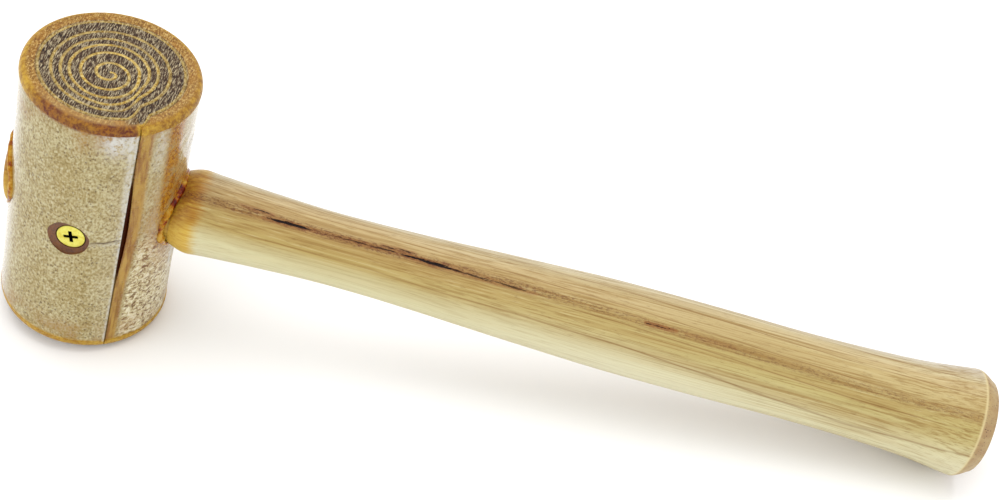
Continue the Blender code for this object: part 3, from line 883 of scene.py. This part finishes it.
SIDE_MASKS = (
    "coarse", "stripe", "amber", "frost_and_painted_highlight", "shade", "rim",
    "burnt", "gloss", "crease", "skin", "golden",
)


def crease(degrees, points):
    """Where the crease between the screw and the seam runs: its strength and its height."""
    strength = smoothstep(degrees, -82, -76) * (1 - smoothstep(degrees, -61, -58.5))
    line = 0.2 * MM + (degrees + 79) / 21 * 1.6 * MM + 0.45 * MM * noise(points, 3 * MM, 8, 2)
    return strength, line


def side_masks(turn, azimuth, height, points):
    """Where each look of the hide's grain side shows, from 0 to 1."""
    degrees = signed_degrees(azimuth)
    width = stripe_width(height)
    stripe = np.where(turn < 0.5, 1 - smoothstep(turn, width - 0.007, width + 0.004), 0)
    beyond = np.where(turn < 0.5, smoothstep(turn, width - 0.001, width + 0.008), 1)
    lower = smoothstep(-height, -5 * MM, 6 * MM)
    coarse = beyond * (1 - smoothstep(turn, 0.13, 0.24)) * (0.22 + 0.78 * lower)
    mottle = noise(points, 7 * MM, 21, 3)
    near_rim = smoothstep(np.abs(height), 31 * MM, 42 * MM)
    amber = 0.6 * near_rim * smoothstep(mottle, -0.3, 0.5)
    streak = bell(degrees, -27, 6.5) * smoothstep(height, 0 * MM, 10 * MM)
    joint = bell(degrees, -10, 26) * bell(height, 6 * MM, 17 * MM)
    far_joint = 0.7 * bell(np.abs(degrees), 180, 22) * bell(height, -0.5 * MM, 13 * MM)
    amber = np.maximum.reduce([amber, 1.6 * streak, 1.5 * joint, far_joint])
    # Pale mask left of the seam: a frosted patch near the top, and painted highlights along the
    # strip's edge at the seam (this line and the next two) and on the crease's lip.
    frost_and_painted_highlight = 1.2 * bell(degrees, -70, 9) * bell(height, 40 * MM, 4.5 * MM)
    frost_and_painted_highlight += 0.7 * bell(degrees, -60.5, 2.0) * smoothstep(height, -30 * MM, 30 * MM)
    frost_and_painted_highlight += 0.9 * bell(turn, 0.9965, 0.0022)
    # Painted reflections: pale gleams on the glossy hide right of the seam.
    gleam = 0.55 * bell(degrees, -40, 5) * smoothstep(height, 22 * MM, 36 * MM)
    gleam += 0.9 * bell(degrees, -4, 3.5) * bell(height, 26 * MM, 6 * MM)
    gleam += 0.9 * bell(degrees, -6, 3.0) * bell(height, -19 * MM, 4.5 * MM)
    in_crease, crease_line = crease(degrees, points)
    frost_and_painted_highlight += 0.45 * in_crease * bell(height, crease_line - 0.75 * MM, 0.4 * MM)
    frost_and_painted_highlight = np.where(turn > 0.5, frost_and_painted_highlight, gleam)
    gloss = beyond * smoothstep(degrees, -46, -30) * (1 - smoothstep(degrees, 20, 60))
    gloss = np.where(turn < 0.5, gloss, 0)
    gloss = np.maximum(gloss * (0.35 + 0.65 * (1 - lower)), 0.2 * stripe)
    gloss = np.maximum(gloss, 0.6 * bell(degrees, -66, 7) * (turn > 0.5))
    gloss = np.maximum(gloss, 0.9 * bell(degrees, -155, 16))
    # A thin dark line low down the stripe, carried on the same mask as the seam's painted shade.
    low_line = bell(turn, 0.6 * width, 0.0014) * smoothstep(-height, 13 * MM, 18 * MM)
    low_line *= 1 - smoothstep(-height, 36 * MM, 40 * MM)
    rim_line = ROLL_HALF - RIM_DROP + 0.35 * MM * mottle
    rim = smoothstep(np.abs(height) - rim_line, -1.3 * MM, 0.2 * MM)
    return {
        "coarse": coarse,
        "stripe": stripe,
        "amber": np.clip(amber, 0, 1) * (1 - 0.8 * stripe),
        "frost_and_painted_highlight": np.clip(frost_and_painted_highlight, 0, 1),
        "shade": 0.4 * low_line,
        # Painted shade along the crease's groove.
        "crease": np.clip(in_crease * bell(height, crease_line, 0.26 * MM), 0, 1),
        "rim": rim,
        "burnt": burnt_rim(azimuth, np.sign(height)) * np.ones_like(height),
        "gloss": gloss,
        "skin": np.full(turn.shape, 3 * MM),
        "golden": np.ones(turn.shape),
    }


DENTS = (  # azimuth in degrees, height and size in mm, and strength of soft hollows
    (-14, 22, 3.2, 0.7),
    (-6, 30, 2.6, 0.6),
    (-18, 33, 2.2, 0.5),
    (-30, -16, 2.6, 0.55),
    (-22, -22, 2.2, 0.5),
    (-9, 14, 2.4, 0.5),
)


def side_relief(turn, azimuth, height, points, masks):
    """How far the grain side lies inside the finished radius."""
    grain = 0.5 + 0.5 * noise(points, 0.85 * MM, 1, 2)
    wrinkles = 0.5 + 0.5 * noise(points, np.array([1.5, 1.5, 1.2]) * MM, 2, 3)
    swell = 0.5 + 0.5 * noise(points, 14 * MM, 3, 2)
    relief = 0.05 * MM * grain * (1 - masks["stripe"]) + 0.16 * MM * swell
    relief += masks["coarse"] * 0.36 * MM * wrinkles
    relief += masks["stripe"] * 0.20 * MM
    edge = stripe_width(height)
    low_edge = smoothstep(-height, 8 * MM, 18 * MM)
    relief += low_edge * 0.20 * MM * bell(turn, edge + 0.0012, 0.0013)
    lift = bell(turn, 1.0, 0.006)
    relief *= 1 - 0.7 * lift
    degrees = signed_degrees(azimuth)
    in_crease, crease_line = crease(degrees, points)
    relief += in_crease * 0.48 * MM * bell(height, crease_line, 0.36 * MM)
    relief -= in_crease * 0.14 * MM * bell(height, crease_line - 0.9 * MM, 0.5 * MM)
    for spot_azimuth, spot_height, size, depth in DENTS:
        along = (degrees - spot_azimuth) * math.radians(1) * ROLL_RADIUS
        distance = np.hypot(along, height - spot_height * MM) / (size * MM)
        relief += depth * 0.5 * MM * np.exp(-distance ** 2 * 2)
    return np.maximum(relief, 0) + 0.03 * MM


def roll_side():
    """Rows of the side between the two rims, and the masks that go with them."""
    turns = np.arange(TURN_SAMPLES + 1) / TURN_SAMPLES
    wall = across_samples()[1:-1][::-1]
    limit = ROLL_HALF - RIM_DROP - 0.12 * MM
    heights = np.linspace(limit, -limit, SIDE_ROWS)
    turn = np.concatenate([turns, np.zeros(len(wall))])[None, :] + np.zeros((SIDE_ROWS, 1))
    height = heights[:, None] + np.zeros_like(turn)
    azimuth = strip_azimuth(turn, height)
    rough = np.stack([ROLL_RADIUS * np.cos(azimuth), ROLL_RADIUS * np.sin(azimuth), height], -1)
    masks = side_masks(turn, azimuth, height, rough)
    radius = ROLL_RADIUS - side_relief(turn, azimuth, height, rough, masks)
    depth = seam_depth(height[:, 0])
    radius[:, TURN_SAMPLES] = ROLL_RADIUS - depth
    radius[:, TURN_SAMPLES - 1] -= 0.10 * MM
    radius[:, 0] -= 0.08 * MM
    for column, share in enumerate(wall):
        radius[:, TURN_SAMPLES + 1 + column] = ROLL_RADIUS - 0.1 * MM - share * (depth - 0.1 * MM)
    # Painted shade inside the open seam, darkest where the seam gapes widest.
    open_share = smoothstep(seam_gape(heights), SEAM_SLIT, 0.5 * SEAM_GAPE)[:, None]
    masks["shade"][:, TURN_SAMPLES:] = 0.35 + 0.6 * open_share
    points = np.stack([radius * np.cos(azimuth), radius * np.sin(azimuth), height], -1)
    return points, masks


def end_face_topology(rows):
    """Numbers of the end face's own vertices, and its quads and core polygon."""
    columns = THICKNESS_SAMPLES + 1
    number = -np.ones((rows, columns), dtype=int)
    number[:, :-1] = np.arange(rows * (columns - 1)).reshape(rows, columns - 1)
    shared = rows - TURN_SAMPLES
    number[:shared, -1] = number[TURN_SAMPLES:, 0]
    used = rows * (columns - 1)
    number[shared:, -1] = used + np.arange(rows - shared)
    quads = np.stack([number[:-1, :-1], number[:-1, 1:], number[1:, 1:], number[1:, :-1]], -1)
    core = list(number[shared - 1:, -1]) + list(number[-1, -2:0:-1])
    return number, quads.reshape(-1, 4), [int(value) for value in core]


def build_roll():
    all_points, all_faces, outlines = [], [], []
    masks = {key: [] for key in SIDE_MASKS}
    count = 0
    for sign in (1, -1):
        points, face_masks = end_face(sign)
        number, quads, core = end_face_topology(len(points))
        own = np.zeros((number.max() + 1, 3))
        own[number.ravel()] = points.reshape(-1, 3)
        own[number[:, :-1].ravel()] = points[:, :-1].reshape(-1, 3)
        all_points.append(own)
        for key in SIDE_MASKS:
            values = np.zeros(len(own))
            if key in face_masks:
                values[number.ravel()] = face_masks[key].ravel()
                values[number[:, :-1].ravel()] = face_masks[key][:, :-1].ravel()
            masks[key].append(values)
        faces = quads + count
        if sign > 0:
            faces = faces[:, ::-1]
        all_faces += faces.tolist()
        core = [count + value for value in core]
        all_faces.append(core if sign > 0 else core[::-1])
        outline = list(number[:TURN_SAMPLES + 1, 0]) + list(number[0, -2:0:-1])
        outlines.append(np.array(outline) + count)
        count += len(own)
    end_faces = len(all_faces)
    side, side_mask = roll_side()
    rows, width = side.shape[:2]
    all_points.append(side.reshape(-1, 3))
    for key in SIDE_MASKS:
        masks[key].append(side_mask[key].ravel())
    index = count + np.arange(rows * width).reshape(rows, width)
    index = np.vstack([outlines[0][None, :], index, outlines[1][None, :]])
    beside = np.roll(index, -1, axis=1)
    quads = np.stack([index[:-1], index[1:], beside[1:], beside[:-1]], -1).reshape(-1, 4)
    all_faces += quads.tolist()
    attributes = {key: np.concatenate(values) for key, values in masks.items()}
    roll = new_mesh_object("rolled_hide", np.concatenate(all_points), all_faces, attributes)
    material_index = np.ones(len(all_faces), dtype=np.int32)
    material_index[end_faces:] = 0
    roll.data.polygons.foreach_set("material_index", material_index)
    for material in (hide_side_material(), hide_end_material(), hide_bore_material()):
        roll.data.materials.append(material)
    cut_with(roll, roll_cutters(roll.data.materials[2]))
    smooth(roll, 55)
    return finish_piece(roll, [], "hide", "hide_roll")


def screw_matrix():
    """Lays what is built along Z, with its face at 0, along the screw's own axis."""
    place = (SCREW_ALONG, SCREW_FACE, SCREW_RISE)
    return Matrix.Translation(place) @ Matrix.Rotation(math.pi / 2, 4, "X")


def roll_cutters(material):
    """Solids of the handle's bore and of the screw's seat, which leave bored hide behind."""
    bore = lathe("bore", [
        (0, 40 * MM),
        (TENON_RADIUS + BORE_GAP, 40 * MM),
        (TENON_RADIUS + BORE_GAP, FLARE_START),
        (FLARE_RADIUS + BORE_GAP, FLARE_END),
        (FLARE_RADIUS + BORE_GAP, -40 * MM),
        (0, -40 * MM),
    ], 120)
    lowered = Matrix.Translation((0, 0, -HANDLE_DROP))
    bore.matrix_world = lowered @ Matrix.Rotation(math.pi / 2, 4, "Y")
    seat = lathe("screw_seat", [
        (0, 4 * MM),
        (COUNTERBORE_RADIUS, 4 * MM),
        (COUNTERBORE_RADIUS - 0.15 * MM, 0.25 * MM),
        (COUNTERBORE_RADIUS - 0.5 * MM, 0.02 * MM),
        (SCREW_HEAD_RADIUS + 0.25 * MM, -0.03 * MM),
        (SCREW_HEAD_RADIUS + 0.2 * MM, -0.4 * MM),
        (PILOT_RADIUS, -3.0 * MM),
        (PILOT_RADIUS, -16 * MM),
        (0, -16 * MM),
    ], 96)
    for vertex in seat.data.vertices:
        x, y = vertex.co.xy
        if math.hypot(x, y) > COUNTERBORE_RADIUS - 0.6 * MM:
            angle = math.atan2(y, x)
            grow = 0.97 + 0.018 * math.sin(3 * angle + 1) + 0.012 * math.sin(7 * angle)
            grow += 0.10 * math.exp(-((abs(angle) - math.pi) / 0.34) ** 2)
            vertex.co.x = vertex.co.x * grow - 0.55 * MM
            vertex.co.y *= grow
    seat.matrix_world = screw_matrix()
    for cutter in (bore, seat):
        cutter.data.materials.append(material)
    return [bore, seat]


# ---------------------------------------------------------------- handle

HANDLE_STEPS = 168
GRIP_ROW = 0.55 * MM


def grip_radius(x):
    """Half height of the grip at a distance from the roll's axis."""
    places = np.array([point[0] for point in GRIP])
    radii = np.array([point[1] for point in GRIP])
    slopes = np.empty_like(radii)
    slopes[1:-1] = (radii[2:] - radii[:-2]) / (places[2:] - places[:-2])
    slopes[0] = (radii[1] - radii[0]) / (places[1] - places[0])
    slopes[-1] = (radii[-1] - radii[-2]) / (places[-1] - places[-2])
    index = np.clip(np.searchsorted(places, x) - 1, 0, len(places) - 2)
    length = places[index + 1] - places[index]
    t = np.clip((x - places[index]) / length, 0, 1)
    return ((1 + 2 * t) * (1 - t) ** 2 * radii[index]
            + t * (1 - t) ** 2 * length * slopes[index]
            + t * t * (3 - 2 * t) * radii[index + 1]
            - t * t * (1 - t) * length * slopes[index + 1])


def handle_profile():
    """(distance along the handle, radius) from the tenon's end to the butt's."""
    end_radii = np.linspace(0.6 * MM, FLARE_RADIUS - TENON_ROUNDING, 13)
    rows = [(TENON_END, radius) for radius in end_radii]
    for angle in np.linspace(0, math.pi / 2, 9)[1:]:
        rows.append((TENON_END + TENON_ROUNDING * (1 - math.cos(angle)),
                     FLARE_RADIUS - TENON_ROUNDING * (1 - math.sin(angle))))
    for x in np.arange(FLARE_END, COLLAR_START - 0.3 * MM, 1.0 * MM):
        spread = np.clip((FLARE_START - x) / (FLARE_START - FLARE_END), 0, 1)
        rows.append((x, TENON_RADIUS + spread * (FLARE_RADIUS - TENON_RADIUS)))
    rows.append((COLLAR_START - 0.1 * MM, TENON_RADIUS))
    for share in np.linspace(0, 1, 16)[:-1]:
        swell = math.sin(share * math.pi / 2)
        rows.append((COLLAR_START + share * (SHOULDER_END - COLLAR_START),
                     SHOULDER_RADIUS + swell * (GRIP[0][1] - SHOULDER_RADIUS)))
    for x in np.arange(SHOULDER_END, BUTT_START - 0.2 * MM, GRIP_ROW):
        rows.append((x, float(grip_radius(x))))
    flare = GRIP[-1][1]
    rows.append((BUTT_START - 0.12 * MM, flare - 0.10 * MM))
    rows.append((BUTT_START + 0.10 * MM, flare - 0.08 * MM))
    for share in np.linspace(0, 1, 12)[1:]:
        bulge = 0.35 * MM * math.sin(math.pi * share)
        rows.append((BUTT_START + share * (BUTT_LENGTH - 0.2 * MM),
                     flare - share * (flare - BUTT_RADIUS) + bulge * (1 - share)))
    end = BUTT_START + BUTT_LENGTH
    for radius in np.linspace(BUTT_RADIUS - 0.3 * MM, 0.6 * MM, 24):
        rows.append((end - 0.01 * MM, radius))
    return np.array(rows)


STREAKS = (  # start, end, angle at each, half width and strength of the dark mineral streaks
    (43, 53, 70.5, 70, 0.20, 0.9),
    (50, 66, 62, 63.5, 0.40, 1.0),
    (62, 98, 63.5, 64.5, 0.19, 0.8),
    (86, 96, 70, 70.5, 0.24, 0.9),
    (92, 110, 64, 61, 0.46, 1.0),
    (105, 134, 61, 57, 0.28, 0.8),
    (167.5, 177.5, 57.8, 57.4, 0.22, 1.5),
    (180, 196, 57, 56.2, 0.18, 0.5),
)


def handle_masks(x, angle, radius, points):
    """Marks on the wood. The angle is 0 on the screw's side and 90 degrees on top."""
    far = 9 * MM
    streak = np.full_like(x, far)
    strength = np.zeros_like(x)
    for start, end, at_start, at_end, half_width, power in STREAKS:
        share = (x / MM - start) / (end - start)
        centre = np.radians(at_start + (at_end - at_start) * np.clip(share, 0, 1))
        taper = np.sqrt(np.clip(4 * share * (1 - share), 0, 1)) * half_width * MM
        beyond = np.maximum(np.maximum(-share, share - 1), 0) * (end - start) * MM
        off_line = np.hypot((angle - centre) * radius, beyond) - taper
        strength = np.where(off_line < streak, power, strength)
        streak = np.minimum(streak, off_line)
    near = bell(x, 80 * MM, 58 * MM)
    line = np.radians(64 - 13 * smoothstep(x / MM, 80, 270))
    band = (angle - line) * radius
    edge_noise = noise(points, 3 * MM, 44, 2)
    stain = 1 - smoothstep(x, 27 * MM, 37 * MM + 1.5 * MM * edge_noise)
    end = smoothstep(x, BUTT_START - 0.05 * MM, BUTT_START + 0.05 * MM)
    end = np.maximum(end, 1 - smoothstep(x, TENON_END + 0.1 * MM, TENON_END + 0.5 * MM))
    edge = bell(x, BUTT_START - 0.05 * MM, 0.32 * MM) * 0.8
    return {
        "streak": streak,
        "streak_power": strength,
        "band": band,
        "band_power": 0.45 + 0.55 * near,
        "stain": stain,
        "end": end,
        "edge": edge,
    }


def build_handle():
    profile = handle_profile()
    rows = len(profile)
    angles = np.arange(HANDLE_STEPS) * TAU / HANDLE_STEPS
    x = profile[:, 0][:, None] + np.zeros(HANDLE_STEPS)
    angle = angles[None, :] + np.zeros((rows, 1))
    angle = np.where(angle > math.pi, angle - TAU, angle)
    base = profile[:, 1][:, None] + np.zeros(HANDLE_STEPS)
    rough = np.stack([x, -base * np.cos(angle), base * np.sin(angle)], -1)
    masks = handle_masks(x, angle, base, rough)
    grain = 0.5 + 0.5 * noise(rough, np.array([14, 0.7, 0.7]) * MM, 61, 2)
    swell = 0.5 + 0.5 * noise(rough, np.array([22, 9, 9]) * MM, 62, 2)
    on_side = smoothstep(base, 5 * MM, 9 * MM)
    relief = (0.035 * MM * grain + 0.10 * MM * swell) * on_side
    relief += 0.10 * MM * (1 - smoothstep(masks["streak"], -0.2 * MM, 0.3 * MM)) * on_side
    facing_end = x > BUTT_START + BUTT_LENGTH - 0.1 * MM
    facing_tenon = x < TENON_END + 0.05 * MM
    radius = base - relief * ~facing_end
    oval = 1 + (GRIP_OVALITY - 1) * smoothstep(x, SHOULDER_START, SHOULDER_START + 10 * MM)
    end_grain = 0.5 + 0.5 * noise(rough, 0.8 * MM, 63, 2)
    x = x - 0.08 * MM * end_grain * facing_end + 0.08 * MM * end_grain * facing_tenon
    x = x - TENON_CUT * radius * np.sin(angle) * (x < FLARE_END - 0.1 * MM)
    across = -radius / oval * np.cos(angle)
    points = np.stack([x, across, radius * np.sin(angle) - HANDLE_DROP], -1)
    faces = [tuple(reversed(quad)) for quad in grid_quads(rows, HANDLE_STEPS, True)]
    faces.append(tuple(range(HANDLE_STEPS)))
    last = (rows - 1) * HANDLE_STEPS
    faces.append(tuple(reversed(range(last, last + HANDLE_STEPS))))
    attributes = {key: values.ravel() for key, values in masks.items()}
    handle = new_mesh_object("turned_handle", points.reshape(-1, 3), faces, attributes)
    cut_with(handle, handle_cutters())
    smooth(handle, 40)
    return finish_piece(handle, [wood_material()], "handle_wood", "handle")


def wedge_form(name, clearance, width, reach):
    """Tapered slab along X with its thick end at the tenon's end."""
    shape = bmesh.new()
    bmesh.ops.create_cube(shape, size=1.0)
    split = [edge for edge in shape.edges if edge.verts[0].co.y == edge.verts[1].co.y]
    bmesh.ops.subdivide_edges(shape, edges=split, cuts=11, use_grid_fill=True)
    slope = (WEDGE_THICK_END - WEDGE_THIN_END) / WEDGE_LENGTH
    for vertex in shape.verts:
        share = vertex.co.x + 0.5
        depth = -reach + share * (WEDGE_LENGTH + clearance + reach)
        thickness = WEDGE_THICK_END - slope * depth + 2 * clearance
        height = vertex.co.z * width
        depth -= TENON_CUT * height * (1 - share)
        vertex.co = Vector((TENON_END + depth, vertex.co.y * thickness, height - HANDLE_DROP))
    return shape_object(name, shape)


def handle_cutters():
    slot = wedge_form("wedge_slot", 0.2 * MM, 24 * MM, 1 * MM)
    pilot = lathe("pilot", [
        (0, 0),
        (PILOT_RADIUS, 0),
        (PILOT_RADIUS, -24 * MM),
        (0.5 * MM, -26 * MM),
        (0, -26 * MM),
    ], 48)
    pilot.matrix_world = screw_matrix()
    return [slot, pilot]


def build_wedge():
    wedge = wedge_form("tenon_end_wedge", 0.0, WEDGE_WIDTH, -0.15 * MM)
    bevel = wedge.modifiers.new("edges", "BEVEL")
    bevel.width = 0.2 * MM
    bevel.segments = 2
    bevel.limit_method = "ANGLE"
    baked(wedge)
    for vertex in wedge.data.vertices:
        if vertex.co.x < TENON_END + 1 * MM:
            place = np.array(vertex.co)[None, :]
            vertex.co.x += 0.08 * MM * float(noise(place, 0.9 * MM, 71)[0] + 1)
    smooth(wedge, 40)
    return finish_piece(wedge, [wedge_material()], "wedge_wood", "tenon_wedge")


# ---------------------------------------------------------------- screw

SCREW_STEPS = 96
THREAD_PITCH = 1.7 * MM
THREAD_START = 8.5 * MM
SCREW_LENGTH = 25.4 * MM


def cross_wing(turn):
    """One bar of the cross recess, narrowing towards its foot."""
    shape = bmesh.new()
    bmesh.ops.create_cube(shape, size=1.0)
    for vertex in shape.verts:
        upper = vertex.co.z > 0
        vertex.co.x *= 4.6 * MM if upper else 3.0 * MM
        vertex.co.y *= 1.15 * MM if upper else 0.8 * MM
        vertex.co.z = 0.4 * MM if upper else -1.9 * MM
    bmesh.ops.bevel(shape, geom=list(shape.edges), offset=0.12 * MM, segments=2, affect="EDGES")
    wing = shape_object("wing", shape)
    wing.matrix_world = Matrix.Rotation(turn, 4, "Z")
    return wing


def build_screw():
    head = SCREW_HEAD_RADIUS
    profile = [(0, 0)]
    for share in np.linspace(0.1, 1, 14):
        profile.append((share * (head - 0.25 * MM), -0.02 * MM * share ** 4))
    profile += [
        (head - 0.12 * MM, -0.05 * MM),
        (head - 0.02 * MM, -0.16 * MM),
        (head, -0.28 * MM),
        (head - 0.03 * MM, -0.42 * MM),
        (SHANK_RADIUS + 0.15 * MM, -2.85 * MM),
        (SHANK_RADIUS, -3.1 * MM),
        (SHANK_RADIUS, -THREAD_START + 0.4 * MM),
    ]
    for depth in np.arange(THREAD_START, SCREW_LENGTH - 0.2 * MM, THREAD_PITCH / 8):
        profile.append((SHANK_RADIUS, -depth))
    profile.append((0, -SCREW_LENGTH + 0.1 * MM))
    screw = lathe("yellow_screw", profile, SCREW_STEPS)
    for vertex in screw.data.vertices:
        depth = -vertex.co.z
        if depth > THREAD_START - 0.01 * MM and math.hypot(vertex.co.x, vertex.co.y) > 0.5 * MM:
            angle = math.atan2(vertex.co.y, vertex.co.x)
            phase = (depth / THREAD_PITCH + angle / TAU) % 1.0
            ridge = max(0.0, 1 - abs(2 * phase - 1) * 2.2)
            start = min(1.0, (depth - THREAD_START) / THREAD_PITCH)
            radius = SHANK_RADIUS - 0.62 * MM * (1 - ridge) * start
            radius *= min(1.0, (SCREW_LENGTH - depth) / (4.5 * MM) + 0.04)
            vertex.co.x = radius * math.cos(angle)
            vertex.co.y = radius * math.sin(angle)
    cut_with(screw, [cross_wing(math.radians(12)), cross_wing(math.radians(102))])
    screw.data.transform(screw_matrix())
    smooth(screw, 32)
    return finish_piece(screw, [brass_material()], "brass", "locking_screw")


# ---------------------------------------------------------------- shellac at the joints

BEAD_STEPS = 220
BEAD_RING = 14


def build_bead(name, side, reach, thickness, pool, seed):
    """Bead of set shellac around the handle where it meets the roll, on one side of it.

    It is widest and thickest towards the pool, an angle that runs from +Y up to +Z.
    """
    steps, ring = BEAD_STEPS, BEAD_RING
    angles = np.arange(steps) * TAU / steps
    heap = smoothstep(np.cos(angles - math.radians(pool)), -0.2, 0.9)
    reach = reach[0] + (reach[1] - reach[0]) * heap
    thickness = thickness[0] + (thickness[1] - thickness[0]) * heap
    across = reach * np.cos(angles)
    up = reach * np.sin(angles) - HANDLE_DROP
    surface = np.sqrt(ROLL_RADIUS ** 2 - across ** 2)
    centres = np.stack([side * surface, across, up], -1)
    bulk = (0.8 + 0.35 * noise(centres, 4 * MM, seed, 2)) * thickness
    outward = np.stack([np.zeros(steps), np.cos(angles), np.sin(angles)], -1)
    away = np.stack([np.full(steps, float(side)), np.zeros(steps), np.zeros(steps)], -1)
    points = []
    for turn in np.arange(ring) * TAU / ring:
        bulge = bulk[:, None] * (math.cos(turn) * outward + 0.9 * math.sin(turn) * away)
        points.append(centres - away * 0.25 * MM + bulge)
    points = np.array(points)
    points += 0.06 * MM * noise(points, 0.9 * MM, seed + 1, 2)[..., None]
    columns = np.transpose(points, (1, 0, 2)).reshape(-1, 3)
    index = np.arange(steps * ring).reshape(steps, ring)
    after = np.roll(index, -1, axis=0)
    quads = np.stack([index, np.roll(index, -1, axis=1), np.roll(after, -1, axis=1), after], -1)
    if side > 0:
        quads = quads[..., ::-1]
    bead = new_mesh_object(name, columns, quads.reshape(-1, 4).tolist())
    smooth(bead, 80)
    return finish_piece(bead, [resin_material()], "hide")


add_camera()
add_studio()
add_floor()
build_roll()
build_handle()
build_wedge()
build_screw()
build_bead("shellac_bead_front", 1, (11.2 * MM, 11.9 * MM), (0.9 * MM, 1.7 * MM), 140, 81)
build_bead("shellac_bead_back", -1, (11.7 * MM, 12.8 * MM), (0.7 * MM, 1.8 * MM), 120, 91)
